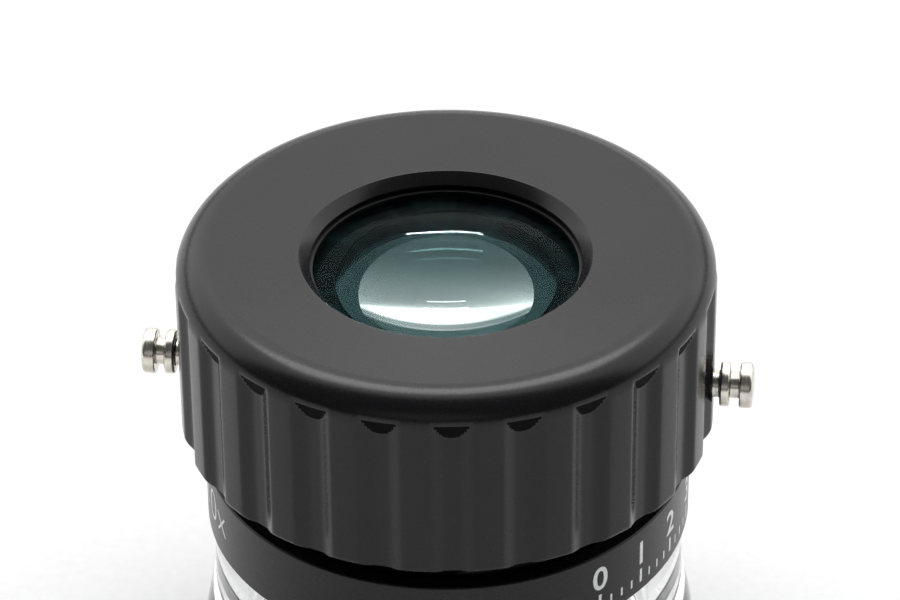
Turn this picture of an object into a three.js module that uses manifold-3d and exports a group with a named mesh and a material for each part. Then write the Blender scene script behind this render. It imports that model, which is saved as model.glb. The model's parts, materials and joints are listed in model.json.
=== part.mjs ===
// A ten-power focusing loupe: a fluted head that turns on a helicoid, a lens cell that it lifts
// without turning, and a clear skirt that stands on the work.
// Units are millimetres. +Z runs up the optical axis, the origin is the middle of the skirt's
// foot, and the two strap studs lie on the X axis. Every height below is measured from the foot.
import * as THREE from "three";
import { mergeVertices } from "three/addons/utils/BufferGeometryUtils.js";
import Module from "manifold-3d";

const wasm = await Module();
wasm.setup();

// Driving dimensions.

const HEAD_SEGMENTS = 96;
const TUBE_SEGMENTS = 48;
const LENS_SEGMENTS = 40;
const SCREW_SEGMENTS = 16;
const STUD_SEGMENTS = 24;
const GAP = 0.3; // between pieces that touch or slide on the real object

const focusUp = 3;
const focusDown = 2;

const head = {
  radius: 25,
  top: 47,
  bottom: 28.1,
  edgeRadius: 3,
  footChamfer: 0.65,
  recessRadius: 13.55,
  recessDrop: 0.85,
  sightRadius: 12.57,
  lipHeight: 0.25,
  webUnderside: 43.9,
  noseBore: 14.2,
  cellBore: 20.7,
  cellBoreFoot: 39.7,
  threadBore: 21.4,
};
const flute = {
  count: 24,
  depth: 0.7,
  halfWidth: 1.79,
  floorHalfWidth: 0.95,
  floorTop: 43,
  runoutSlope: 2.8,
};
const stud = {
  height: 33,
  innerEnd: 22.6,
  shankRadius: 1,
  neckRadius: 1.28,
  neckStart: 25.3,
  collarRadius: 2.1,
  collarStart: 25.6,
  collarEnd: 26.53,
  headRadius: 2.15,
  headStart: 27.43,
  headShoulder: 28.5,
  endRadius: 1.3,
  end: 28.8,
};
const cell = {
  top: 44.62,
  noseRadius: 13.9,
  lipRadius: 12.3,
  lipHeight: 0.3,
  flangeRadius: 19.6,
  flangeTop: 43,
  flangeFoot: 41.5,
  radius: 16.1,
  bore: 12.95,
  retainerBore: 13.9,
  retainerShoulder: 22.9,
  foot: 20.6,
};
const glass = {
  radius: 12.7,
  eyeCurve: 34,
  fieldCurve: 45,
  cementCurve: 30,
  cementGap: 0.1,
  eyeCrownEdge: [39.68, 44.1],
  eyeFlintFoot: 37.4,
  fieldFlintTop: 31.6,
  fieldCrownEdge: [24.9, 27],
};
const tube = { radius: 21, bore: 16.4, foot: 21, top: 37.6 };
const guide = {
  count: 3,
  height: 31.8,
  headRadius: 1.5,
  shankRadius: 0.8,
  innerEnd: 14,
  outerEnd: 20.2,
  holeEnd: 13.7,
  driverSlot: 0.5,
};
const collar = { radius: 22.9, bore: 21.3, foot: 17.6, top: 24.9, edge: 0.25 };
const lock = { height: 22.9, radius: 0.8, innerEnd: 19.6, outerEnd: 22.6 };
const skirt = {
  shoulder: 17.3,
  radius: 22.4,
  bore: 19.4,
  neckRadius: 21,
  neckTop: 20.7,
  flareTop: 10.5,
  footRadius: 24.5,
  footBore: 20.6,
  edge: 0.4,
};

// Shape helpers.

function arc(centreR, centreZ, radius, from, to, steps) {
  return Array.from({ length: steps + 1 }, (_, i) => {
    const angle = THREE.MathUtils.degToRad(from + ((to - from) * i) / steps);
    return [centreR + radius * Math.cos(angle), centreZ + radius * Math.sin(angle)];
  });
}

// An outline of [radius, height] points turned once round Z. One that starts and ends on the
// axis stays open there, and any other closes on its first point.
function turned(outline, segments) {
  const points = outline.map(([r, z]) => new THREE.Vector2(r, z));
  if (THREE.ShapeUtils.area(points) < 0) points.reverse();
  const onAxis = points[0].x === 0 && points.at(-1).x === 0;
  if (!onAxis) points.push(points[0].clone());
  return new THREE.LatheGeometry(points, segments).rotateX(Math.PI / 2);
}

// The same, about a line that leaves the optical axis at the given height and azimuth.
function turnedAcross(outline, segments, height, azimuth) {
  return turned(outline, segments)
    .rotateY(Math.PI / 2)
    .rotateZ(azimuth)
    .translate(0, 0, height);
}

// An outline of [radius, height] points for a plain ring.
function ring(inner, outer, foot, top) {
  return [
    [inner, foot],
    [outer, foot],
    [outer, top],
    [inner, top],
  ];
}

// The block between two faces of four corners each, listed counter-clockwise from above.
function blockBetween(lower, upper) {
  const sides = [0, 1, 2, 3].flatMap((a) => {
    const b = (a + 1) % 4;
    return [a, b, b + 4, a, b + 4, a + 4];
  });
  const geometry = new THREE.BufferGeometry();
  const corners = [...lower, ...upper].flat();
  geometry.setAttribute("position", new THREE.Float32BufferAttribute(corners, 3));
  geometry.setIndex([0, 2, 1, 0, 3, 2, 4, 5, 6, 4, 6, 7, ...sides]);
  return geometry;
}

function solid(geometry) {
  const bare = geometry.clone();
  bare.deleteAttribute("normal");
  bare.deleteAttribute("uv");
  const merged = mergeVertices(bare);
  return new wasm.Manifold(
    new wasm.Mesh({
      numProp: 3,
      vertProperties: merged.getAttribute("position").array,
      triVerts: new Uint32Array(merged.index.array),
    }),
  );
}

function cut(geometry, cutters) {
  let body = solid(geometry);
  for (const cutter of cutters) body = body.subtract(solid(cutter));
  const { numProp, vertProperties, triVerts } = body.getMesh();
  const result = new THREE.BufferGeometry();
  const vertices = new THREE.BufferAttribute(new Float32Array(vertProperties), numProp);
  result.setAttribute("position", vertices);
  result.setIndex(new THREE.BufferAttribute(new Uint32Array(triVerts), 1));
  return result;
}

function azimuths(count, first) {
  return Array.from({ length: count }, (_, i) => first + (i * 2 * Math.PI) / count);
}

// Height of a lens face at radius r, for a face that meets the lens edge at edgeHeight and bulges
// up with a positive curve radius, or down with a negative one.
function faceHeight(r, edgeHeight, curve) {
  const size = Math.abs(curve);
  const rise = Math.sqrt(size ** 2 - r ** 2) - Math.sqrt(size ** 2 - glass.radius ** 2);
  return edgeHeight + Math.sign(curve) * rise;
}

// A lens between two faces, each given by the height of its edge and its curve radius; a flat
// face has a curve of 0.
function lens([footEdge, footCurve], [topEdge, topCurve]) {
  const steps = 5;
  const face = (edge, curve) =>
    Array.from({ length: curve === 0 ? 2 : steps + 1 }, (_, i) => {
      const r = curve === 0 ? i * glass.radius : (i * glass.radius) / steps;
      return [r, curve === 0 ? edge : faceHeight(r, edge, curve)];
    });
  const outline = [...face(footEdge, footCurve), ...face(topEdge, topCurve).reverse()];
  return turned(outline, LENS_SEGMENTS);
}

// A slot through a wall, long in Z, that reaches from one distance off the axis to another.
function slotCutter(halfWidth, foot, top, from, to, azimuth) {
  const shape = new THREE.Shape();
  shape.absarc(-(top - halfWidth), 0, halfWidth, Math.PI / 2, (3 * Math.PI) / 2);
  shape.absarc(-(foot + halfWidth), 0, halfWidth, -Math.PI / 2, Math.PI / 2);
  const options = { depth: to - from, bevelEnabled: false, curveSegments: 8 };
  return new THREE.ExtrudeGeometry(shape, options)
    .rotateY(Math.PI / 2)
    .translate(from, 0, 0)
    .rotateZ(azimuth);
}

// Two notches across a ring's face for a pin spanner.
function spannerNotches(radius, depth, faceHeightZ, width) {
  return [0, Math.PI].map((azimuth) =>
    new THREE.BoxGeometry(width, width, 2 * depth)
      .translate(radius, 0, faceHeightZ)
      .rotateZ(azimuth),
  );
}

// The pieces.

function gripRing() {
  const bevelDrop = head.recessRadius - head.sightRadius;
  const recessEdge = head.top - head.recessDrop;
  const sightEdge = recessEdge - bevelDrop;
  const filletR = head.radius - head.edgeRadius;
  const filletZ = head.top - head.edgeRadius;
  const outline = [
    [head.sightRadius, sightEdge - head.lipHeight],
    [head.sightRadius, sightEdge],
    [head.recessRadius, recessEdge],
    ...arc(filletR, filletZ, head.edgeRadius, 90, 0, 6),
    [head.radius, head.bottom + head.footChamfer],
    [head.radius - head.footChamfer, head.bottom],
    [head.threadBore, head.bottom],
    [head.threadBore, head.cellBoreFoot],
    [head.cellBore, head.cellBoreFoot],
    [head.cellBore, head.webUnderside],
    [head.noseBore, head.webUnderside],
    [head.noseBore, sightEdge - head.lipHeight],
  ];
  const studHoles = [0, Math.PI].map((azimuth) => {
    const hole = ring(0, stud.shankRadius + GAP, stud.innerEnd - GAP, head.radius + 1);
    return turnedAcross(hole, STUD_SEGMENTS, stud.height, azimuth);
  });
  return cut(turned(outline, HEAD_SEGMENTS), [...fluteCutters(), ...studHoles]);
}

// One cutter for each flute: a trapezoid channel that leaves through the ring's foot and ends at
// the top in a leaning wall, carried out past the ring's surface.
function fluteCutters() {
  const floor = head.radius - flute.depth;
  const reach = 1.5;
  const spread = (flute.halfWidth - flute.floorHalfWidth) / flute.depth;
  const outer = head.radius + reach;
  const outerHalf = flute.halfWidth + spread * reach;
  const outerTop = flute.floorTop + flute.runoutSlope * (flute.depth + reach);
  const section = (floorZ, outerZ) => [
    [floor, -flute.floorHalfWidth, floorZ],
    [outer, -outerHalf, outerZ],
    [outer, outerHalf, outerZ],
    [floor, flute.floorHalfWidth, floorZ],
  ];
  const below = head.bottom - 1;
  const first = -Math.PI / 2 + Math.PI / flute.count;
  return azimuths(flute.count, first).map((azimuth) =>
    blockBetween(section(below, below), section(flute.floorTop, outerTop)).rotateZ(azimuth),
  );
}

function strapStud(azimuth) {
  const outline = [
    [0, stud.innerEnd],
    [stud.shankRadius, stud.innerEnd],
    [stud.shankRadius, stud.neckStart],
    [stud.neckRadius, stud.neckStart],
    [stud.neckRadius, stud.collarStart],
    [stud.collarRadius, stud.collarStart],
    [stud.collarRadius, stud.collarEnd],
    [stud.neckRadius, stud.collarEnd],
    [stud.neckRadius, stud.headStart],
    [stud.headRadius, stud.headStart],
    [stud.headRadius, stud.headShoulder],
    [stud.endRadius, stud.end],
    [0, stud.end],
  ];
  return turnedAcross(outline, STUD_SEGMENTS, stud.height, azimuth);
}

// The threaded ring inside the head that keeps the cell's flange under the head's web.
function flangeRetainer() {
  const top = cell.flangeFoot - GAP;
  const foot = top - 1.2;
  const inner = cell.radius + 2 * GAP;
  const outer = head.cellBore - GAP;
  const notches = spannerNotches((inner + outer) / 2, 0.6, foot, 1.6);
  return cut(turned(ring(inner, outer, foot, top), TUBE_SEGMENTS), notches);
}

function thrustWasher() {
  const inner = cell.noseRadius + GAP;
  const outer = cell.flangeRadius - GAP;
  const clearance = 0.2;
  const foot = cell.flangeTop + clearance;
  const top = head.webUnderside - clearance;
  return turned(ring(inner, outer, foot, top), TUBE_SEGMENTS);
}

const dampingGroove = { foot: 25.4, top: 27, depth: 1.1, ringHeight: 1 };

function lensBarrel() {
  const grooveRadius = cell.radius - dampingGroove.depth;
  const outline = [
    [cell.lipRadius, cell.top],
    [cell.noseRadius, cell.top],
    [cell.noseRadius, cell.flangeTop],
    [cell.flangeRadius, cell.flangeTop],
    [cell.flangeRadius, cell.flangeFoot],
    [cell.radius, cell.flangeFoot],
    [cell.radius, dampingGroove.top],
    [grooveRadius, dampingGroove.top],
    [grooveRadius, dampingGroove.foot],
    [cell.radius, dampingGroove.foot],
    [cell.radius, cell.foot],
    [cell.retainerBore, cell.foot],
    [cell.retainerBore, cell.retainerShoulder],
    [cell.bore, cell.retainerShoulder],
    [cell.bore, cell.top - cell.lipHeight],
    [cell.lipRadius, cell.top - cell.lipHeight],
  ];
  const holes = guideAzimuths().map((azimuth) => {
    const hole = ring(0, guide.shankRadius + GAP, guide.holeEnd, cell.radius + 1);
    return turnedAcross(hole, SCREW_SEGMENTS, guide.height, azimuth);
  });
  return cut(turned(outline, TUBE_SEGMENTS), holes);
}

function dampingRing() {
  const middle = (dampingGroove.foot + dampingGroove.top) / 2;
  const half = dampingGroove.ringHeight / 2;
  const inner = cell.radius - dampingGroove.depth + 0.2;
  const outer = tube.bore - 0.1;
  return turned(ring(inner, outer, middle - half, middle + half), TUBE_SEGMENTS);
}

function lensSpacer() {
  const foot = glass.fieldFlintTop + GAP;
  const top = glass.eyeFlintFoot - GAP;
  return turned(ring(glass.radius - 0.8, glass.radius, foot, top), LENS_SEGMENTS);
}

const apertureRadius = 11.5;
const stopTop = faceHeight(apertureRadius, glass.fieldCrownEdge[0], -glass.fieldCurve) - GAP;
const stopFoot = cell.retainerShoulder + 0.4;

function fieldStop() {
  return turned(ring(apertureRadius, glass.radius, stopFoot, stopTop), LENS_SEGMENTS);
}

function lensRetainer() {
  const top = cell.retainerShoulder - GAP;
  const foot = cell.foot + 0.6;
  const outline = ring(apertureRadius, cell.retainerBore - GAP, foot, top);
  return cut(turned(outline, TUBE_SEGMENTS), spannerNotches(12.6, 0.7, foot, 1.4));
}

function guideAzimuths() {
  return azimuths(guide.count, Math.PI / 2);
}

// A shouldered screw: its shank is in the lens barrel, and its head slides in the tube's slot.
function guideScrew(azimuth) {
  const shoulder = cell.radius + GAP;
  const outline = [
    [0, guide.innerEnd],
    [guide.shankRadius, guide.innerEnd],
    [guide.shankRadius, shoulder],
    [guide.headRadius, shoulder],
    [guide.headRadius, guide.outerEnd],
    [0, guide.outerEnd],
  ];
  const slot = new THREE.BoxGeometry(1.4, 4 * guide.headRadius, guide.driverSlot)
    .translate(guide.outerEnd, 0, guide.height)
    .rotateZ(azimuth);
  return cut(turnedAcross(outline, SCREW_SEGMENTS, guide.height, azimuth), [slot]);
}

function bodyTube() {
  const outline = [
    [tube.bore, tube.foot],
    [tube.radius, tube.foot],
    [tube.radius, tube.top - 0.4],
    [tube.radius - 0.4, tube.top],
    [tube.bore, tube.top],
  ];
  const halfWidth = guide.headRadius + GAP;
  const slotFoot = guide.height - focusDown - halfWidth;
  const slotTop = guide.height + focusUp + halfWidth;
  const slots = guideAzimuths().map((azimuth) =>
    slotCutter(halfWidth, slotFoot, slotTop, tube.bore - 1.5, tube.radius + 1, azimuth),
  );
  const hole = ring(0, lock.radius + GAP, lock.innerEnd - GAP, tube.radius + 1);
  const lockHole = turnedAcross(hole, SCREW_SEGMENTS, lock.height, Math.PI / 2);
  return cut(turned(outline, TUBE_SEGMENTS), [...slots, lockHole]);
}

function indexCollar() {
  const outline = [
    [collar.bore, collar.foot],
    [collar.radius - collar.edge, collar.foot],
    [collar.radius, collar.foot + collar.edge],
    [collar.radius, collar.top - collar.edge],
    [collar.radius - collar.edge, collar.top],
    [collar.bore, collar.top],
  ];
  const hole = ring(0, lock.radius + GAP, collar.bore - 1, collar.radius + 1);
  const lockHole = turnedAcross(hole, SCREW_SEGMENTS, lock.height, Math.PI / 2);
  return cut(turned(outline, HEAD_SEGMENTS), [lockHole]);
}

// The grub screw at the back that stops the collar turning on the tube.
function collarLockScrew() {
  const outline = ring(0, lock.radius, lock.innerEnd, lock.outerEnd);
  const socket = new THREE.BoxGeometry(1.2, 0.7, 0.7)
    .translate(lock.outerEnd, 0, lock.height)
    .rotateZ(Math.PI / 2);
  const screw = turnedAcross(outline, SCREW_SEGMENTS, lock.height, Math.PI / 2);
  return cut(screw, [socket]);
}

function clearSkirt() {
  return turned(
    [
      [skirt.footBore, 0],
      [skirt.footRadius - skirt.edge, 0],
      [skirt.footRadius, skirt.edge],
      [skirt.radius, skirt.flareTop],
      [skirt.radius, skirt.shoulder],
      [skirt.neckRadius, skirt.shoulder],
      [skirt.neckRadius, skirt.neckTop],
      [skirt.bore, skirt.neckTop],
      [skirt.bore, skirt.flareTop],
    ],
    HEAD_SEGMENTS,
  );
}

// Colours and finishes, one new material for each mesh.

const finishes = {
  blackAnodised: { color: 0x1b1c1e, roughness: 0.42, metalness: 0.6 },
  blackMatt: { color: 0x101112, roughness: 0.7, metalness: 0.3 },
  nickel: { color: 0xcfc6b8, roughness: 0.25, metalness: 1 },
  brass: { color: 0xb08d4f, roughness: 0.35, metalness: 1 },
  steel: { color: 0x8b8d90, roughness: 0.35, metalness: 1 },
  glass: { color: 0xbfe0dc, roughness: 0.03, metalness: 0, transparent: true, opacity: 0.4 },
  acrylic: { color: 0xf2f8f8, roughness: 0.05, metalness: 0, transparent: true, opacity: 0.35 },
  ptfe: { color: 0xe8e8e2, roughness: 0.5, metalness: 0 },
  rubber: { color: 0x141414, roughness: 0.85, metalness: 0 },
};

function piece(name, geometry, finish) {
  const mesh = new THREE.Mesh(geometry, new THREE.MeshStandardMaterial(finishes[finish]));
  mesh.name = name;
  return mesh;
}

// What stays still: the skirt, the printed collar and the tube with the outer thread.
const stand = new THREE.Group().add(
  piece("clear_skirt", clearSkirt(), "acrylic"),
  piece("index_collar", indexCollar(), "blackAnodised"),
  piece("collar_lock_screw", collarLockScrew(), "steel"),
  piece("body_tube", bodyTube(), "blackAnodised"),
);

// What slides and doesn't turn: the lens barrel with its glass and its guide screws.
const { eyeCurve, fieldCurve, cementCurve, cementGap } = glass;
const [eyeCrownFoot, eyeCrownTop] = glass.eyeCrownEdge;
const [fieldCrownFoot, fieldCrownTop] = glass.fieldCrownEdge;
const eyeCrown = lens([eyeCrownFoot, cementCurve], [eyeCrownTop, eyeCurve]);
const eyeFlint = lens([glass.eyeFlintFoot, 0], [eyeCrownFoot - cementGap, cementCurve]);
const fieldFlint = lens([fieldCrownTop + cementGap, cementCurve], [glass.fieldFlintTop, 0]);
const fieldCrown = lens([fieldCrownFoot, -fieldCurve], [fieldCrownTop, cementCurve]);
const lensCell = new THREE.Group().add(
  piece("lens_barrel", lensBarrel(), "blackMatt"),
  piece("damping_ring", dampingRing(), "rubber"),
  piece("eye_crown_lens", eyeCrown, "glass"),
  piece("eye_flint_lens", eyeFlint, "glass"),
  piece("lens_spacer", lensSpacer(), "blackMatt"),
  piece("field_flint_lens", fieldFlint, "glass"),
  piece("field_crown_lens", fieldCrown, "glass"),
  piece("field_stop", fieldStop(), "blackMatt"),
  piece("lens_retainer", lensRetainer(), "blackMatt"),
  ...guideAzimuths().map((azimuth, i) =>
    piece(`guide_screw_${i + 1}`, guideScrew(azimuth), "brass"),
  ),
);

// What turns: the fluted grip with its studs and the parts that hold the lens cell in it.
const turningHead = new THREE.Group().add(
  piece("grip_ring", gripRing(), "blackAnodised"),
  piece("flange_retainer", flangeRetainer(), "blackMatt"),
  piece("thrust_washer", thrustWasher(), "ptfe"),
  piece("strap_stud_right", strapStud(0), "nickel"),
  piece("strap_stud_left", strapStud(Math.PI), "nickel"),
);

export default new THREE.Group().add(stand, lensCell, turningHead);
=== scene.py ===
import json
import math

import bpy
from mathutils import Matrix, Quaternion, Vector

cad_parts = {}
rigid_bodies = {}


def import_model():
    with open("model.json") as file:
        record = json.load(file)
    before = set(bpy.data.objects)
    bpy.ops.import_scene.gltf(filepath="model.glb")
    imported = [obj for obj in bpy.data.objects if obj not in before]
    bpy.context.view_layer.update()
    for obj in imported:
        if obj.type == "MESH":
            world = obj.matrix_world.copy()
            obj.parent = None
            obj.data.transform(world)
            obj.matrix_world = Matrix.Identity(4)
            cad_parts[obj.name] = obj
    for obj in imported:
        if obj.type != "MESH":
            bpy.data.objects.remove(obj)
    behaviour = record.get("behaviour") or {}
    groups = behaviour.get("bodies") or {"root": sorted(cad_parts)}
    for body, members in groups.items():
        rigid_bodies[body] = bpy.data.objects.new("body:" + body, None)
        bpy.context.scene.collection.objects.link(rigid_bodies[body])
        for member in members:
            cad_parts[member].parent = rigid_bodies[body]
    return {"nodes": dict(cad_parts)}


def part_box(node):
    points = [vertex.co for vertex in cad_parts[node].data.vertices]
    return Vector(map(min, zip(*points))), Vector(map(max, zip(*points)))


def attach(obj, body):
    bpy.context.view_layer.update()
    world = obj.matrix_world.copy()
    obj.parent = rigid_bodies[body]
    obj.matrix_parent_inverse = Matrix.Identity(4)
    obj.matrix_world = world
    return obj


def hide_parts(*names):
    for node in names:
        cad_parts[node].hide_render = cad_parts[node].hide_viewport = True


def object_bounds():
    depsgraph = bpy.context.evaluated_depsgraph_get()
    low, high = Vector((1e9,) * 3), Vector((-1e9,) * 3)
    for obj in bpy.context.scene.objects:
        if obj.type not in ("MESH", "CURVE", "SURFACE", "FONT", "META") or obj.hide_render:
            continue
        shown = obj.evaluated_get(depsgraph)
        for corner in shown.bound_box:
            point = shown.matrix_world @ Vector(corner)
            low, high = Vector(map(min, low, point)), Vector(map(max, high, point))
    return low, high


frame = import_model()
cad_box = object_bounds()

# The looks of a ten-power focusing loupe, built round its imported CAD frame.
#
# Outlines are in millimetres, as (radius, height) points about the optical axis, and become metres
# where a mesh is made. +Z runs up the axis and the strap studs lie on the X axis.

MM = 0.001
TURN = 2 * math.pi
SHARP_ABOVE = math.radians(32)


# ---------------------------------------------------------------- shapes


def measure(node):
    """A turned CAD node's radius, foot height and top height, in millimetres."""
    low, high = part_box(node)
    return high.y / MM, low.z / MM, high.z / MM


def softened(corners, steps=4):
    """The closed outline through (radius, height, rounding) corners, each rounded to its size."""
    points = []
    for i, (r, z, size) in enumerate(corners):
        here = Vector((r, z))
        before = Vector(corners[i - 1][:2]) - here
        after = Vector(corners[(i + 1) % len(corners)][:2]) - here
        if size == 0:
            points.append((r, z))
            continue
        half = before.angle(after) / 2
        reach = min(size / math.tan(half), 0.48 * before.length, 0.48 * after.length)
        radius = reach * math.tan(half)
        towards = before.normalized() + after.normalized()
        centre = here + towards.normalized() * (radius / math.sin(half))
        start = here + before.normalized() * reach - centre
        end = here + after.normalized() * reach - centre
        sweep = start.angle_signed(end)
        for k in range(steps + 1):
            spoke = Matrix.Rotation(-sweep * k / steps, 2) @ start
            points.append(tuple(centre + spoke))
    return points


def spaced(start, end, step):
    """Values from start to end, both included, no further apart than step."""
    count = max(1, math.ceil(abs(end - start) / step))
    return [start + (end - start) * i / count for i in range(count + 1)]


def even_angles(count):
    return [TURN * i / count for i in range(count)]


def mesh_piece(name, vertices, faces):
    """A smooth-shaded piece whose creases above SHARP_ABOVE stay sharp."""
    mesh = bpy.data.meshes.new(name)
    mesh.from_pydata(vertices, [], faces)
    mesh.validate()
    mesh.shade_smooth()
    mesh.set_sharp_from_angle(angle=SHARP_ABOVE)
    piece = bpy.data.objects.new(name, mesh)
    bpy.context.scene.collection.objects.link(piece)
    flats = piece.modifiers.new("flats", "WEIGHTED_NORMAL")
    flats.keep_sharp = True
    return piece


def turned(name, outline, angles, reshape=None):
    """An outline turned round Z. It closes on its first point, or starts and ends on the axis.

    reshape(radius, height, angle) gives the radius that a point has at that angle.
    """
    if sum(a[0] * b[1] - b[0] * a[1] for a, b in zip(outline, outline[1:] + outline[:1])) < 0:
        outline = outline[::-1]
    on_axis = outline[0][0] == 0 and outline[-1][0] == 0
    vertices = []
    columns = []
    poles = {}
    for angle in angles:
        column = []
        for k, (r, z) in enumerate(outline):
            if r == 0 and k in poles:
                column.append(poles[k])
                continue
            radius = reshape(r, z, angle) if reshape and r else r
            column.append(len(vertices))
            if r == 0:
                poles[k] = len(vertices)
            vertices.append((radius * math.cos(angle) * MM, radius * math.sin(angle) * MM, z * MM))
        columns.append(column)
    faces = []
    rows = len(outline) - 1 if on_axis else len(outline)
    for i, column in enumerate(columns):
        beside = columns[(i + 1) % len(columns)]
        for k in range(rows):
            n = (k + 1) % len(outline)
            corners = [column[k], beside[k], beside[n], column[n]]
            faces.append(tuple(dict.fromkeys(corners)))
    return mesh_piece(name, vertices, faces)


def ring_outline(inner, outer, foot, top, edge=0.15):
    return softened(
        [(inner, foot, edge), (outer, foot, edge), (outer, top, edge), (inner, top, edge)]
    )


def point_across(piece, angle, height):
    """Turns a piece made about Z to lie along a radius at that angle and height."""
    move = Matrix.Translation((0, 0, height * MM))
    lay = Matrix.Rotation(math.pi / 2, 4, "Y")
    piece.data.transform(move @ Matrix.Rotation(angle, 4, "Z") @ lay)


def place(piece, body, slot, material, *nodes):
    """Paints a piece, rides it on its body and has it stand for its CAD nodes. The slot argument
    is not used.
    """
    piece.data.materials.clear()
    piece.data.materials.append(material)
    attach(piece, body)
    if nodes:
        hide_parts(*nodes)


# ---------------------------------------------------------------- materials


def link(tree, source, target):
    tree.links.new(source, target)


def new_material(name):
    """A material, its node tree and its principled shader."""
    material = bpy.data.materials.new(name)
    material.use_nodes = True
    tree = material.node_tree
    return material, tree, tree.nodes["Principled BSDF"]


def noise(tree, scale, detail=3, stretch=(1, 1, 1)):
    """Fractal noise in the object's own coordinates; scale is in features per metre."""
    place_at = tree.nodes.new("ShaderNodeTexCoord")
    mapping = tree.nodes.new("ShaderNodeMapping")
    mapping.inputs["Scale"].default_value = stretch
    texture = tree.nodes.new("ShaderNodeTexNoise")
    texture.inputs["Scale"].default_value = scale
    texture.inputs["Detail"].default_value = detail
    link(tree, place_at.outputs["Object"], mapping.inputs["Vector"])
    link(tree, mapping.outputs["Vector"], texture.inputs["Vector"])
    return texture.outputs["Fac"]


def lathe_lines(tree, spacing):
    """Noise that changes only with the distance from Z and with height, as tool marks do."""
    place_at = tree.nodes.new("ShaderNodeTexCoord")
    split = tree.nodes.new("ShaderNodeSeparateXYZ")
    flat = tree.nodes.new("ShaderNodeCombineXYZ")
    length = tree.nodes.new("ShaderNodeVectorMath")
    length.operation = "LENGTH"
    joined = tree.nodes.new("ShaderNodeCombineXYZ")
    texture = tree.nodes.new("ShaderNodeTexNoise")
    texture.inputs["Scale"].default_value = 1 / spacing
    texture.inputs["Detail"].default_value = 2
    link(tree, place_at.outputs["Object"], split.inputs[0])
    link(tree, split.outputs["X"], flat.inputs["X"])
    link(tree, split.outputs["Y"], flat.inputs["Y"])
    link(tree, flat.outputs[0], length.inputs[0])
    link(tree, length.outputs["Value"], joined.inputs["X"])
    link(tree, split.outputs["Z"], joined.inputs["Z"])
    link(tree, joined.outputs[0], texture.inputs["Vector"])
    return texture.outputs["Fac"]


def ramp(tree, source, low, high, start=0.3, end=0.7):
    """A number or colour that goes from low to high as source goes from start to end."""
    if isinstance(low, tuple):
        node = tree.nodes.new("ShaderNodeValToRGB")
        node.color_ramp.elements[0].position = start
        node.color_ramp.elements[1].position = end
        node.color_ramp.elements[0].color = (*low, 1)
        node.color_ramp.elements[1].color = (*high, 1)
        link(tree, source, node.inputs["Fac"])
        return node.outputs["Color"]
    node = tree.nodes.new("ShaderNodeMapRange")
    node.inputs["From Min"].default_value = start
    node.inputs["From Max"].default_value = end
    node.inputs["To Min"].default_value = low
    node.inputs["To Max"].default_value = high
    link(tree, source, node.inputs["Value"])
    return node.outputs["Result"]


def bump(tree, shader, *layers):
    """Stacks (height source, depth in metres) layers of relief on a shader."""
    normal = None
    for source, depth in layers:
        node = tree.nodes.new("ShaderNodeBump")
        node.inputs["Strength"].default_value = 1
        node.inputs["Distance"].default_value = depth
        link(tree, source, node.inputs["Height"])
        if normal is not None:
            link(tree, normal, node.inputs["Normal"])
        normal = node.outputs["Normal"]
    link(tree, normal, shader.inputs["Normal"])


def metal_black(name, base, rough, reflect, tool_marks=0.0):
    """Black anodised aluminium: a fine etched grain, and tool marks where they show."""
    material, tree, shader = new_material(name)
    grain = noise(tree, 5200, 4)
    cloud = noise(tree, 90, 3)
    dark = tuple(c * 0.8 for c in base)
    light = tuple(c * 1.25 for c in base)
    link(tree, ramp(tree, cloud, dark, light), shader.inputs["Base Color"])
    link(tree, ramp(tree, grain, rough - 0.05, rough + 0.05), shader.inputs["Roughness"])
    shader.inputs["Specular IOR Level"].default_value = reflect
    layers = [(grain, 1.2e-6)]
    if tool_marks:
        layers.append((lathe_lines(tree, 0.00016), tool_marks))
    bump(tree, shader, *layers)
    return material


def metal_bright(name, base, rough, spacing=0.00012):
    """Plated or bare turned metal with fine tool marks and slight tarnish."""
    material, tree, shader = new_material(name)
    cloud = noise(tree, 900, 4)
    marks = noise(tree, 1 / spacing, 2, (1, 0.05, 0.05))
    worn = tuple(c * 0.72 for c in base)
    link(tree, ramp(tree, cloud, worn, base, 0.25, 0.6), shader.inputs["Base Color"])
    link(tree, ramp(tree, marks, rough * 0.7, rough * 1.5), shader.inputs["Roughness"])
    shader.inputs["Metallic"].default_value = 1
    bump(tree, shader, (marks, 2e-6))
    return material


def clear(name, tint, index, reflect=(1, 1, 1), outer=0.0, inner=0.0, haze=0.0, rough=0.0):
    """Glass or clear plastic. outer and inner are how much of the reflection its coating takes."""
    material, tree, shader = new_material(name)
    shader.inputs["Transmission Weight"].default_value = 1
    shader.inputs["IOR"].default_value = index
    shader.inputs["Specular Tint"].default_value = (*reflect, 1)
    film = noise(tree, 260, 6)
    link(tree, ramp(tree, film, rough, rough + 0.004, 0.5, 0.8), shader.inputs["Roughness"])
    whiter = tuple(min(1, c * 1.03) for c in tint)
    link(tree, ramp(tree, film, tint, whiter), shader.inputs["Base Color"])
    if haze:
        link(tree, ramp(tree, film, 1, 1 - haze, 0.55, 0.8), shader.inputs["Transmission Weight"])
    if outer:
        through = tree.nodes.new("ShaderNodeBsdfRefraction")
        through.inputs["Color"].default_value = (*tint, 1)
        through.inputs["IOR"].default_value = index
        through.inputs["Roughness"].default_value = rough
        side = tree.nodes.new("ShaderNodeNewGeometry")
        blend = tree.nodes.new("ShaderNodeMixShader")
        link(tree, ramp(tree, side.outputs["Backfacing"], outer, inner, 0, 1), blend.inputs[0])
        link(tree, shader.outputs[0], blend.inputs[1])
        link(tree, through.outputs[0], blend.inputs[2])
        link(tree, blend.outputs[0], tree.nodes["Material Output"].inputs["Surface"])
    return material


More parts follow.
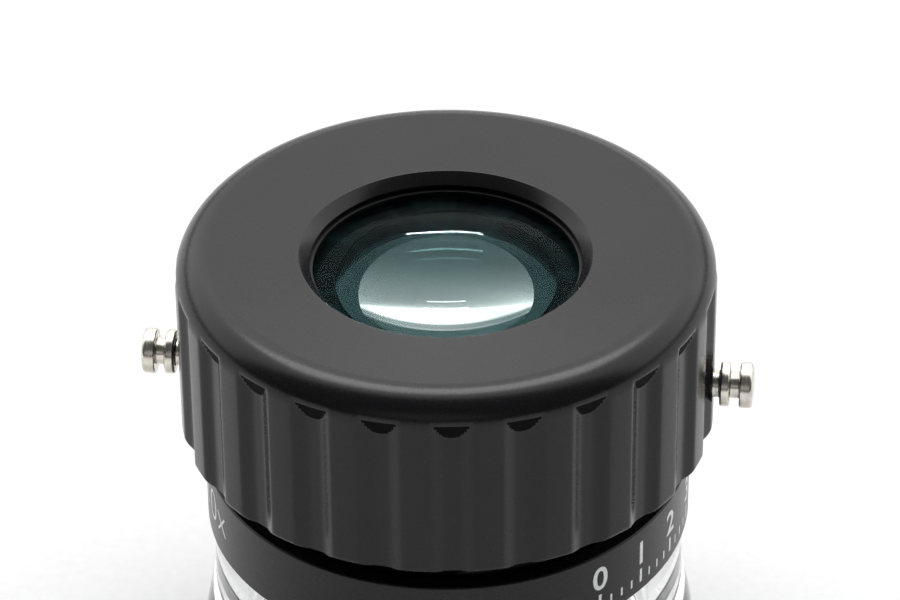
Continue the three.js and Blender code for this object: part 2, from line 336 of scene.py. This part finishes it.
def streaked(name, dark, light):
    """Ground glass painted behind: streaks that run outwards, as the grinding leaves them."""
    material, tree, shader = new_material(name)
    place_at = tree.nodes.new("ShaderNodeTexCoord")
    split = tree.nodes.new("ShaderNodeSeparateXYZ")
    around = tree.nodes.new("ShaderNodeMath")
    around.operation = "ARCTAN2"
    joined = tree.nodes.new("ShaderNodeCombineXYZ")
    texture = tree.nodes.new("ShaderNodeTexNoise")
    texture.inputs["Scale"].default_value = 7
    texture.inputs["Detail"].default_value = 5
    link(tree, place_at.outputs["Object"], split.inputs[0])
    link(tree, split.outputs["Y"], around.inputs[0])
    link(tree, split.outputs["X"], around.inputs[1])
    link(tree, around.outputs[0], joined.inputs["X"])
    link(tree, split.outputs["Z"], joined.inputs["Z"])
    link(tree, joined.outputs[0], texture.inputs["Vector"])
    streaks = texture.outputs["Fac"]
    link(tree, ramp(tree, streaks, dark, light, 0.4, 0.72), shader.inputs["Base Color"])
    link(tree, ramp(tree, streaks, 0.5, 0.8), shader.inputs["Roughness"])
    shader.inputs["Specular IOR Level"].default_value = 0.08
    return material


def plain(name, base, rough, grain_scale=3000, depth=3e-6):
    """Rubber, plastic, paint or ink with a fine grain."""
    material, tree, shader = new_material(name)
    grain = noise(tree, grain_scale, 4)
    dark = tuple(c * 0.85 for c in base)
    link(tree, ramp(tree, grain, dark, base), shader.inputs["Base Color"])
    link(tree, ramp(tree, grain, rough - 0.06, rough + 0.06), shader.inputs["Roughness"])
    bump(tree, shader, (grain, depth))
    return material


GLASS_INDEX = 1.52
ACRYLIC_INDEX = 1.49

head_black = metal_black("head_black", (0.005, 0.005, 0.0058), 0.24, 0.3, 0.7e-6)
# Painted shade: a darker, less reflective black for the flutes' recessed run-out walls, standing
# in for the shade they lie in.
flute_end_painted_shade = metal_black("flute_end_painted_shade", (0.002, 0.002, 0.0024), 0.6, 0.04)
collar_black = metal_black("collar_black", (0.005, 0.005, 0.006), 0.3, 0.3)
cell_black = metal_black("cell_black", (0.006, 0.006, 0.006), 0.55, 0.25, 4e-6)
nickel = metal_bright("nickel", (0.74, 0.70, 0.63), 0.2)
brass = metal_bright("brass", (0.62, 0.44, 0.19), 0.25)
steel = metal_bright("steel", (0.2, 0.2, 0.21), 0.3)
coated_glass = clear(
    "coated_glass",
    (0.95, 0.99, 0.985),
    GLASS_INDEX,
    reflect=(0.3, 0.7, 0.75),
    outer=0.9,
    inner=0.3,
    haze=0.03,
    rough=0.008,
)
inner_glass = clear(
    "inner_glass",
    (0.95, 0.99, 0.98),
    GLASS_INDEX,
    reflect=(0.3, 0.5, 0.52),
    outer=0.8,
    inner=0.0,
    rough=0.008,
)
ground_edge = streaked("ground_edge", (0.002, 0.008, 0.01), (0.012, 0.034, 0.038))
acrylic = clear("clear_acrylic", (0.97, 0.985, 0.985), ACRYLIC_INDEX)
rubber = plain("rubber", (0.02, 0.02, 0.02), 0.8)
ptfe = plain("washer_plastic", (0.8, 0.8, 0.77), 0.5)
ink = plain("white_ink", (0.82, 0.83, 0.84), 0.45)


# ---------------------------------------------------------------- the fluted head

HEAD_RADIUS, HEAD_FOOT, HEAD_TOP = measure("grip_ring")
EDGE_RADIUS = 3.0
DISH = 0.85
RECESS_RADIUS = 13.55
SIGHT_RADIUS = 12.57
LIP = 0.25
WEB_UNDERSIDE = 43.9
FLUTES = 24
FLUTE_DEPTH = 0.7
FLUTE_HALF = 1.95
FLUTE_FLOOR_HALF = 0.75
FLUTE_TOP = 43.0
RUNOUT_SLOPE = 2.8
SOFT_EDGE = 0.16
FOOT_EDGE_RADIUS = 0.6


def smooth_max(a, b, size):
    """The larger of two numbers, with the crease between them rounded over size."""
    h = max(size - abs(a - b), 0) / size
    return max(a, b) + h * h * size / 4


def smooth_min(a, b, size):
    return -smooth_max(-a, -b, size)


def fluted(r, z, angle):
    """Radius of the head's outside, with the flutes cut in."""
    if r < HEAD_RADIUS - EDGE_RADIUS:
        return r
    pitch = TURN / FLUTES
    offset = (angle + math.pi / 2) % pitch - pitch / 2
    across = abs(HEAD_RADIUS * math.sin(offset))
    floor = HEAD_RADIUS - FLUTE_DEPTH
    side = (across - FLUTE_FLOOR_HALF) * FLUTE_DEPTH / (FLUTE_HALF - FLUTE_FLOOR_HALF)
    wall = floor + smooth_max(0, side, SOFT_EDGE * 1.6)
    wall = smooth_max(wall, floor + (z - FLUTE_TOP) / RUNOUT_SLOPE, SOFT_EDGE * 0.4)
    return smooth_min(r, wall, SOFT_EDGE)


def flute_angles():
    """Angles that fall close together at the flutes' edges and wider apart between them."""
    pitch = TURN / FLUTES
    edge = math.asin(FLUTE_HALF / HEAD_RADIUS)
    foot = math.asin(FLUTE_FLOOR_HALF / HEAD_RADIUS)
    near = 0.16 / HEAD_RADIUS
    half = (
        spaced(0, foot - near, foot / 3)
        + spaced(foot - near, foot + near, near / 2)[1:]
        + spaced(foot + near, edge - near, 0.009)[1:]
        + spaced(edge - near, edge + near, near / 2)[1:]
        + spaced(edge + near, pitch / 2, 0.012)[1:]
    )
    one = [-a for a in half[:0:-1]] + half[:-1]
    first = -math.pi / 2 + pitch / 2
    return [first + pitch * i + a for i in range(FLUTES) for a in one]


def grip_ring():
    recess_edge = HEAD_TOP - DISH
    sight_edge = recess_edge - (RECESS_RADIUS - SIGHT_RADIUS)
    centre_r = HEAD_RADIUS - EDGE_RADIUS
    centre_z = HEAD_TOP - EDGE_RADIUS
    fillet = [
        (centre_r + EDGE_RADIUS * math.cos(a), centre_z + EDGE_RADIUS * math.sin(a))
        for a in spaced(math.pi / 2, 0, math.radians(3.6))
    ]
    crown = [
        (r, recess_edge + DISH * (r - RECESS_RADIUS) / (centre_r - RECESS_RADIUS))
        for r in spaced(RECESS_RADIUS + 0.25, centre_r - 0.4, 1.0)
    ]
    wall = [(HEAD_RADIUS, z) for z in spaced(centre_z - 0.05, FLUTE_TOP - 0.2, 0.085)]
    wall += [(HEAD_RADIUS, z) for z in spaced(FLUTE_TOP - 0.3, FLUTE_TOP - 0.6, 0.1)]
    wall += [(HEAD_RADIUS, z) for z in spaced(FLUTE_TOP - 1.2, HEAD_FOOT + 0.8, 2.4)]
    foot_edge = [
        (
            HEAD_RADIUS - FOOT_EDGE_RADIUS * (1 - math.cos(a)),
            HEAD_FOOT + FOOT_EDGE_RADIUS * (1 - math.sin(a)),
        )
        for a in spaced(0, math.pi / 2, math.radians(15))
    ]
    inside = softened(
        [
            (21.4, HEAD_FOOT, 0.3),
            (21.4, 39.7, 0.1),
            (20.7, 39.7, 0.1),
            (20.7, WEB_UNDERSIDE, 0.1),
            (14.2, WEB_UNDERSIDE, 0.1),
            (14.2, sight_edge - LIP, 0.05),
            (SIGHT_RADIUS, sight_edge - LIP, 0.05),
            (SIGHT_RADIUS, sight_edge, 0.06),
            (RECESS_RADIUS, recess_edge, 0.12),
            (RECESS_RADIUS + 0.6, recess_edge + 0.04, 0),
            (HEAD_RADIUS - 1.5, HEAD_FOOT, 0),
        ],
        3,
    )[:-2]
    outline = crown + fillet + wall + foot_edge + inside
    piece = turned("head_ring", outline, flute_angles(), fluted)
    place(piece, "turning_head", "head_black", head_black, "grip_ring")
    blacken_flute_ends(piece)


def blacken_flute_ends(piece):
    """Gives the sloping walls where the flutes run out a darker, duller black: painted shade for
    the shade and dark reflections of those recessed walls.
    """
    piece.data.materials.append(flute_end_painted_shade)
    for face in piece.data.polygons:
        middle = face.center / MM
        out = math.hypot(middle.x, middle.y)
        cut_away = HEAD_RADIUS - FLUTE_DEPTH - 0.1 < out < HEAD_RADIUS - 0.04
        if cut_away and middle.z > FLUTE_TOP and face.normal.z < -0.15:
            face.material_index = 1


def strap_stud(side, name):
    """A turned stud: waist, collar, waist and a head with a slightly domed end."""
    node = f"strap_stud_{name}"
    low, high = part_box(node)
    end = max(abs(low.x), abs(high.x)) / MM
    height = (low.z + high.z) / 2 / MM
    radius = (high.z - low.z) / 2 / MM
    waist = 1.28
    outline = [(0, 22.7)] + softened(
        [
            (1.0, 22.7, 0.2),
            (1.0, 24.85, 0),
            (waist, 24.85, 0),
            (waist, end - 3.2, 0.14),
            (radius - 0.05, end - 3.2, 0.22),
            (radius - 0.05, end - 2.27, 0.22),
            (waist, end - 2.27, 0.14),
            (waist, end - 1.37, 0.14),
            (radius, end - 1.37, 0.16),
            (radius, end - 0.15, 0.4),
            (0.5, end, 0.6),
            (0.0, end, 0),
            (0.0, 22.7, 0),
        ],
        5,
    )[:-2] + [(0, end)]
    piece = turned(f"stud_{name}", outline, even_angles(96))
    point_across(piece, 0 if side > 0 else math.pi, height)
    place(piece, "turning_head", "nickel", nickel, node)


grip_ring()
strap_stud(1, "right")
strap_stud(-1, "left")


# ---------------------------------------------------------------- the lens cell

EYE_CURVE = 34.0
EYE_RIM = 12.7
EYE_EDGE = 44.1
INNER_CURVE = 30.0
INNER_TOP = 42.5
INNER_RIM = 9.6
REAR_CURVE = 62.0
REAR_RIM = 7.2
REAR_FOOT = 37.6
OPTICAL_CONTACT = 0.01


CEMENT_CURVE = 30.0
FIELD_CURVE = 45.0
FLAT_CURVE = 1e6
LENS_STEPS = 192
# A lens's face counts as its ground wall where its normal rises or falls less than this.
WALL_TILT = 0.2


def sag(radius, curve):
    """How far a spherical face falls from its middle to that radius."""
    return curve - math.sqrt(curve**2 - radius**2)


def face_points(rim, curve, crown_height, step=0.35):
    """A spherical face from the axis to the rim. curve is positive where the face bulges up."""
    points = []
    for r in spaced(0, rim, step):
        drop = sag(r, abs(curve))
        points.append((r, crown_height - math.copysign(drop, curve)))
    return points


polished = bpy.data.collections.new("polished_glass")


def lens(name, lower, upper, waist, slot, glass, *nodes):
    """A lens from its lower and upper faces and the ground points between their rims."""
    piece = turned(name, lower + waist + upper[::-1], even_angles(LENS_STEPS))
    place(piece, "lens_cell", slot, glass, *nodes)
    polished.objects.link(piece)
    piece.data.materials.append(ground_edge)
    for face in piece.data.polygons:
        away = max(math.hypot(*piece.data.vertices[v].co[:2]) for v in face.vertices) / MM
        rim = upper[-1][0] if face.normal.z > WALL_TILT else lower[-1][0]
        ground = away > rim + 0.001 or abs(face.normal.z) < WALL_TILT
        face.material_index = 1 if ground else 0


def eye_lenses():
    """The cemented eye pair. The lower glass reaches just into the upper, as cement joins them."""
    front = face_points(EYE_RIM, EYE_CURVE, EYE_EDGE + sag(EYE_RIM, EYE_CURVE))
    joint = face_points(INNER_RIM, INNER_CURVE, INNER_TOP)
    shoulder = joint[-1][1] - 0.3
    waist = [(INNER_RIM, shoulder), (EYE_RIM, shoulder)]
    lens("eye_front_glass", joint, front, waist, "crown_glass", coated_glass, "eye_crown_lens")
    contact = face_points(INNER_RIM - 0.01, INNER_CURVE, INNER_TOP + OPTICAL_CONTACT)
    rear = face_points(REAR_RIM, -REAR_CURVE, REAR_FOOT)
    waist = [(INNER_RIM - 0.01, contact[-1][1] - 0.6)]
    lens("eye_rear_glass", rear, contact, waist, "flint_glass", inner_glass, "eye_flint_lens")


def field_lenses():
    """The lower cemented pair, from its CAD nodes' rims."""
    radius, low, high = measure("field_flint_lens")
    joint = face_points(radius, CEMENT_CURVE, low + sag(radius, CEMENT_CURVE))
    top = face_points(radius, FLAT_CURVE, high)
    lens("field_upper_glass", joint, top, [], "flint_glass", inner_glass, "field_flint_lens")
    low, high = measure("field_crown_lens")[1:]
    contact = face_points(radius - 0.01, CEMENT_CURVE, high + 0.1)
    foot = face_points(radius - 0.01, -FIELD_CURVE, low)
    lens("field_lower_glass", foot, contact, [], "crown_glass", inner_glass, "field_crown_lens")


def lens_barrel():
    radius, foot, top = 16.1, *measure("lens_barrel")[1:]
    bore = 12.95
    corners = [
        (12.3, top, 0.02),
        (13.9, top, 0.1),
        (13.9, 43.0, 0.1),
        (19.6, 43.0, 0.15),
        (19.6, 41.5, 0.15),
        (radius, 41.5, 0.1),
        (radius, foot, 0.3),
        (13.9, foot, 0.2),
        (13.9, 22.9, 0),
        (bore, 22.9, 0),
        (bore, 31.9, 0),
        (bore, top - 0.3, 0),
        (12.3, top - 0.3, 0),
    ]
    piece = turned("cell_barrel", softened(corners), even_angles(144))
    place(piece, "lens_cell", "cell_black", cell_black, "lens_barrel")


def cell_ring(node, inner, edge=0.1):
    outer, foot, top = measure(node)
    piece = turned(node + "_turned", ring_outline(inner, outer, foot, top, edge), even_angles(128))
    place(piece, "lens_cell", "cell_black", cell_black, node)


lens_barrel()
eye_lenses()
field_lenses()
cell_ring("lens_spacer", 11.9)
cell_ring("field_stop", 11.5)


# ---------------------------------------------------------------- the stand

COLLAR_RADIUS, COLLAR_FOOT, COLLAR_TOP = measure("index_collar")
TUBE_RADIUS, TUBE_FOOT, TUBE_TOP = measure("body_tube")
TUBE_BORE = 16.4
SLOT_HALF_WIDTH = 1.8
SLOT_FOOT = 28.0
SLOT_TOP = 36.6
THREAD_LEAD = 9.0
THREAD_STARTS = 6
THREAD_DEPTH = 0.35


def threaded(r, z, angle):
    """Radius of the tube's outside, with the focusing thread cut in above the collar."""
    if r < TUBE_RADIUS - 0.01 or not COLLAR_TOP + 0.3 < z < TUBE_TOP - 0.6:
        return r
    pitch = THREAD_LEAD / THREAD_STARTS
    phase = ((z - THREAD_LEAD * angle / TURN) / pitch) % 1
    tooth = min(1, max(0, 2.2 - 4.4 * abs(phase - 0.5)))
    return r - THREAD_DEPTH * (1 - tooth)


def slot_cutter(azimuth):
    """The shape of a guide slot, through the tube's wall at that azimuth."""
    rim = []
    for height, start in ((SLOT_TOP - SLOT_HALF_WIDTH, 0), (SLOT_FOOT + SLOT_HALF_WIDTH, math.pi)):
        for a in spaced(start, start + math.pi, math.radians(15)):
            rim.append((SLOT_HALF_WIDTH * math.cos(a), height + SLOT_HALF_WIDTH * math.sin(a)))
    n = len(rim)
    reach = (TUBE_BORE - 1.5, TUBE_RADIUS + 1)
    vertices = [(x * MM, y * MM, z * MM) for x in reach for y, z in rim]
    faces = [tuple(range(n))[::-1], tuple(range(n, 2 * n))]
    faces += [(i, (i + 1) % n, n + (i + 1) % n, n + i) for i in range(n)]
    mesh = bpy.data.meshes.new("slot_cutter")
    mesh.from_pydata(vertices, [], faces)
    mesh.transform(Matrix.Rotation(azimuth, 4, "Z"))
    cutter = bpy.data.objects.new("slot_cutter", mesh)
    bpy.context.scene.collection.objects.link(cutter)
    return cutter


def cut_slots(piece):
    """Cuts a slot for each guide screw's head, where that screw is in the CAD."""
    cutters = []
    for i in (1, 2, 3):
        low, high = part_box(f"guide_screw_{i}")
        cutters.append(slot_cutter(math.atan2(low.y + high.y, low.x + high.x)))
        cut = piece.modifiers.new(f"slot_{i}", "BOOLEAN")
        cut.solver = "EXACT"
        cut.object = cutters[-1]
    bpy.context.view_layer.update()
    depsgraph = bpy.context.evaluated_depsgraph_get()
    piece.data = bpy.data.meshes.new_from_object(piece.evaluated_get(depsgraph))
    for cutter in cutters:
        piece.modifiers.remove(piece.modifiers[-1])
        bpy.data.objects.remove(cutter)
    piece.data.shade_smooth()
    piece.data.set_sharp_from_angle(angle=SHARP_ABOVE)


def body_tube():
    bore = TUBE_BORE
    wall = [(TUBE_RADIUS, z) for z in spaced(COLLAR_TOP - 0.4, TUBE_TOP - 0.4, 0.125)]
    outline = [(bore, TUBE_FOOT), (TUBE_RADIUS, TUBE_FOOT)] + wall
    outline += [(TUBE_RADIUS - 0.4, TUBE_TOP), (bore, TUBE_TOP)]
    piece = turned("tube_threaded", outline, even_angles(240), threaded)
    cut_slots(piece)
    place(piece, "stand", "collar_black", collar_black, "body_tube")


def index_collar():
    outline = ring_outline(21.3, COLLAR_RADIUS, COLLAR_FOOT, COLLAR_TOP, 0.25)
    piece = turned("collar_turned", outline, even_angles(256))
    place(piece, "stand", "collar_black", collar_black, "index_collar")


def clear_skirt():
    low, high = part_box("clear_skirt")
    outer_foot = high.y / MM
    outline = softened(
        [
            (20.6, 0.0, 0.3),
            (outer_foot, 0.0, 0.5),
            (22.4, 10.5, 4.0),
            (22.4, 17.3, 0.2),
            (21.0, 17.3, 0.1),
            (21.0, 20.7, 0.2),
            (19.4, 20.7, 0.2),
            (19.4, 10.5, 4.0),
        ],
        8,
    )
    piece = turned("skirt_clear", outline, even_angles(288))
    place(piece, "stand", "clear_acrylic", acrylic, "clear_skirt")


# How far the ink stands above the collar, and reaches into it, in millimetres.
INK_DEPTH = 0.02


def wrapped(name, flat, angle):
    """Wraps a flat mesh (x along, y up, millimetres) round the collar, centred on that angle."""
    for vertex in flat.vertices:
        x, y, depth = vertex.co
        turn = angle + x / COLLAR_RADIUS
        radius = COLLAR_RADIUS + depth
        height = (COLLAR_FOOT + COLLAR_TOP) / 2 + y
        vertex.co = (radius * math.cos(turn) * MM, radius * math.sin(turn) * MM, height * MM)
    piece = bpy.data.objects.new(name, flat)
    bpy.context.scene.collection.objects.link(piece)
    place(piece, "stand", None, ink)


def lettering(name, words, size, angle, rise=0.0, weight=0.0):
    """Generic numerals printed on the collar."""
    curve = bpy.data.curves.new(name, "FONT")
    curve.body = words
    curve.size = size
    curve.align_x = "CENTER"
    curve.align_y = "CENTER"
    curve.extrude = INK_DEPTH
    curve.offset = weight
    holder = bpy.data.objects.new(name, curve)
    bpy.context.scene.collection.objects.link(holder)
    bpy.context.view_layer.update()
    depsgraph = bpy.context.evaluated_depsgraph_get()
    flat = bpy.data.meshes.new_from_object(holder.evaluated_get(depsgraph))
    bpy.data.objects.remove(holder)
    flat.transform(Matrix.Translation((0, rise, 0)))
    wrapped(name + "_print", flat, angle)


def tick(name, angle, width, length, rise):
    """One printed line of the focus scale."""
    w, h = width / 2, length / 2
    corners = ((-w, -h), (w, -h), (w, h), (-w, h))
    vertices = [(x, rise + y, d) for d in (-INK_DEPTH, INK_DEPTH) for x, y in corners]
    faces = [(3, 2, 1, 0), (4, 5, 6, 7), (0, 1, 5, 4), (1, 2, 6, 5), (2, 3, 7, 6), (3, 0, 4, 7)]
    flat = bpy.data.meshes.new(name)
    flat.from_pydata(vertices, [], faces)
    wrapped(name, flat, angle)


# Degrees round the collar from its front.
POWER_AT = -67.5
SCALE_START = 44.0
SCALE_STEP = 3.4
TICKS = 13
TICKS_PER_NUMERAL = 4


def printed_marks():
    """The magnification at the left, and a plain focus scale at the right."""
    front = -math.pi / 2
    lettering("power", "10x", 5.0, front + math.radians(POWER_AT), 0.5, -0.09)
    for i in range(TICKS):
        at = front + math.radians(SCALE_START + SCALE_STEP * i)
        if i % TICKS_PER_NUMERAL == 0:
            numeral = i // TICKS_PER_NUMERAL
            tick(f"scale_long_{numeral}", at, 0.32, 1.5, -1.75)
            lettering(f"scale_{numeral}", str(numeral), 3.6, at, 0.75, 0.05)
        else:
            tick(f"scale_short_{i}", at, 0.22, 0.9, -2.05)


body_tube()
index_collar()
clear_skirt()
printed_marks()

for node, material in {
    "collar_lock_screw": steel,
    "damping_ring": rubber,
    "flange_retainer": cell_black,
    "thrust_washer": ptfe,
    "guide_screw_1": brass,
    "guide_screw_2": brass,
    "guide_screw_3": brass,
    "lens_retainer": cell_black,
}.items():
    shown = frame["nodes"][node]
    shown.data.materials.clear()
    shown.data.materials.append(material)


# ---------------------------------------------------------------- floor, light and camera


STUDIO_PEAK = 3.0
# The studio's brightness from the front (0) through straight up (0.5) to the back (1).
STUDIO = [
    (0.0, 0.5),
    (0.04, 0.45),
    (0.1, 0.1),
    (0.42, 0.1),
    (0.5, 1.6),
    (0.6, 1.7),
    (0.88, 2.1),
    (0.94, 1.2),
    (0.97, 2.0),
    (1.0, 3.0),
]
# How much of it shows at each height, from a little below the horizon (0) to above it (1).
LOW_GAP = [(0.3, 1.0), (0.37, 0.15), (0.65, 0.15), (0.82, 1.0), (1.0, 1.0)]
GAP_FOOT, GAP_TOP = -0.1, 0.3


def grey_ramp(tree, stops, peak=1.0):
    """A colour ramp through (position, level) stops, with the levels as shares of the peak."""
    node = tree.nodes.new("ShaderNodeValToRGB")
    elements = node.color_ramp.elements
    for position, level in stops[1:-1]:
        elements.new(position)
    for stop, (position, level) in zip(elements, stops):
        stop.position = position
        stop.color = (level / peak, level / peak, level / peak, 1)
    return node


def world():
    """A studio with a white back and a bright ceiling, and a dim room in front.

    A dark gap shows low down, between the table's edge and the studio's white cloth.
    """
    light = bpy.data.worlds.new("studio")
    bpy.context.scene.world = light
    light.use_nodes = True
    tree = light.node_tree
    background = tree.nodes["Background"]
    place_at = tree.nodes.new("ShaderNodeTexCoord")
    split = tree.nodes.new("ShaderNodeSeparateXYZ")
    link(tree, place_at.outputs["Generated"], split.inputs[0])
    curve = grey_ramp(tree, STUDIO, STUDIO_PEAK)
    link(tree, ramp(tree, split.outputs["Y"], 0.0, 1.0, -1.0, 1.0), curve.inputs["Fac"])
    link(tree, curve.outputs["Color"], background.inputs["Color"])
    gap = grey_ramp(tree, LOW_GAP)
    height = ramp(tree, split.outputs["Z"], 0.0, 1.0, GAP_FOOT, GAP_TOP)
    link(tree, height, gap.inputs["Fac"])
    strength = ramp(tree, gap.outputs["Color"], 0.0, STUDIO_PEAK, 0.0, 1.0)
    link(tree, strength, background.inputs["Strength"])


EYE_LENS = (0, 0, 0.045)


def area_light(name, place_m, aim_m, width, height, power):
    """A rectangular lamp at one point, aimed at another, in metres and watts."""
    lamp = bpy.data.lights.new(name, "AREA")
    lamp.shape = "RECTANGLE"
    lamp.size = width
    lamp.size_y = height
    lamp.energy = power
    holder = bpy.data.objects.new(name, lamp)
    bpy.context.scene.collection.objects.link(holder)
    holder.location = place_m
    holder.rotation_mode = "QUATERNION"
    towards = Vector(aim_m) - Vector(place_m)
    holder.rotation_quaternion = towards.to_track_quat("-Z", "Y")
    return holder


FLOOR_SIZE = 3.0
FLOOR_FRONT = -0.5
FLOOR_GAP = 0.00003


def floor():
    """A pale table top that ends a little way in front of the object, with its own lamp."""
    size = FLOOR_SIZE
    z = cad_box[0].z - FLOOR_GAP
    corners = [(-size, FLOOR_FRONT, z), (size, FLOOR_FRONT, z), (size, size, z), (-size, size, z)]
    mesh = bpy.data.meshes.new("floor")
    mesh.from_pydata(corners, [], [(0, 1, 2, 3)])
    ground = bpy.data.objects.new("floor", mesh)
    bpy.context.scene.collection.objects.link(ground)
    paper, tree, shader = new_material("pale_floor")
    fibres = noise(tree, 900, 3)
    shade = ramp(tree, fibres, (0.87, 0.87, 0.87), (0.9, 0.9, 0.9))
    link(tree, shade, shader.inputs["Base Color"])
    shader.inputs["Roughness"].default_value = 0.8
    mesh.materials.append(paper)
    lit = bpy.data.collections.new("table_top")
    lit.objects.link(ground)
    lamp = area_light("table_fill", (0, 0.4, 1.5), (0, 0.4, 0), 1.6, 1.6, 7)
    lamp.light_linking.receiver_collection = lit


def ceiling_light():
    """The soft box overhead, which only the satin parts mirror as a broad sheen."""
    satin = bpy.data.collections.new("satin_parts")
    for piece in bpy.context.scene.objects:
        if piece.type == "MESH" and "glass" not in piece.name and piece.name != "floor":
            satin.objects.link(piece)
    lamp = area_light("ceiling", (-0.03, 0.26, 0.68), EYE_LENS, 0.7, 0.28, 3.3)
    lamp.light_linking.receiver_collection = satin


def strip_light(name, distance, elevation, width, height, power):
    """A long lamp behind the object, for the lenses alone, whose polish mirrors it sharply."""
    rise = math.radians(elevation)
    flat = distance * math.cos(rise)
    spot = (
        -flat * math.sin(CAMERA_AZIMUTH),
        flat * math.cos(CAMERA_AZIMUTH),
        distance * math.sin(rise) + EYE_LENS[2],
    )
    lamp = area_light(name, spot, EYE_LENS, width, height, power)
    lamp.light_linking.receiver_collection = polished


CAMERA_AZIMUTH = math.radians(6.7)
CAMERA_ELEVATION = math.radians(34.34)
CAMERA_DISTANCE = 0.41323
CAMERA_YAW = -0.00083
CAMERA_PITCH = -0.01244
CAMERA_ROLL = -0.01


def camera():
    data = bpy.data.cameras.new("camera")
    data.sensor_width = 36
    data.lens = 180
    holder = bpy.data.objects.new("camera", data)
    bpy.context.scene.collection.objects.link(holder)
    flat = math.cos(CAMERA_ELEVATION)
    back = Vector(
        (
            math.sin(CAMERA_AZIMUTH) * flat,
            -math.cos(CAMERA_AZIMUTH) * flat,
            math.sin(CAMERA_ELEVATION),
        )
    )
    target = Vector((0, 0, cad_box[1].z))
    holder.location = target + back * CAMERA_DISTANCE
    holder.rotation_mode = "QUATERNION"
    look = (-back).to_track_quat("-Z", "Y")
    yaw = Quaternion((0, 1, 0), CAMERA_YAW)
    pitch = Quaternion((1, 0, 0), CAMERA_PITCH)
    roll = Quaternion((0, 0, 1), CAMERA_ROLL)
    holder.rotation_quaternion = look @ yaw @ pitch @ roll
    bpy.context.scene.camera = holder


world()
camera()
floor()
ceiling_light()
strip_light("strip", 0.72, 24.5, 0.17, 0.012, 1.5)
strip_light("faint_strip", 0.72, 30.0, 0.15, 0.009, 0.02)

scene = bpy.context.scene
scene.view_settings.view_transform = "Standard"
scene.cycles.max_bounces = 32
scene.cycles.transmission_bounces = 32
scene.cycles.transparent_max_bounces = 16
